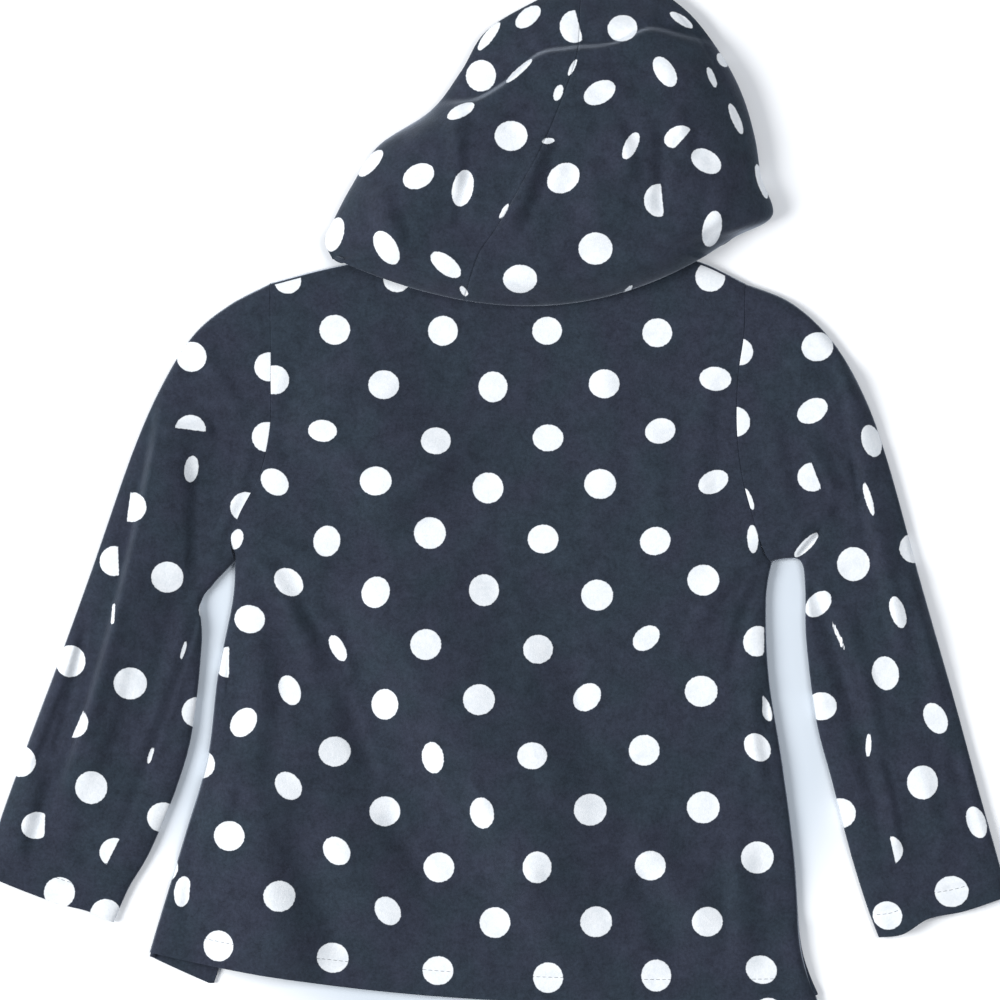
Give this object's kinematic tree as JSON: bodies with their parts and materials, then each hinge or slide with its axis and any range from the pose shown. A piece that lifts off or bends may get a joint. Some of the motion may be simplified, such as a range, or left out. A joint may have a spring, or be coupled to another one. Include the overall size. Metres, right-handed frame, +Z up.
{
  "type": "baby fleece hoodie",
  "caption": "Baby's hooded fleece top with long sleeves and a flared body, laid out flat with its back up and its hood puffed over the neckline.",
  "frame": {"origin": "the point on the resting plane under the middle of the body", "axes": "+X towards the garment's right sleeve, +Y from the hem to the hood, +Z up out of the back panel"},
  "size_m": [0.511, 0.5123, 0.034],
  "materials": {
    "fleece": "napped polyester fleece, dark slate blue printed with white dots"
  },
  "bodies": {
    "root": {"back_panel": "fleece", "front_panel": "fleece", "left_sleeve": "fleece", "right_sleeve": "fleece", "hood_left": "fleece", "hood_right": "fleece"}
  },
  "joints": []
}
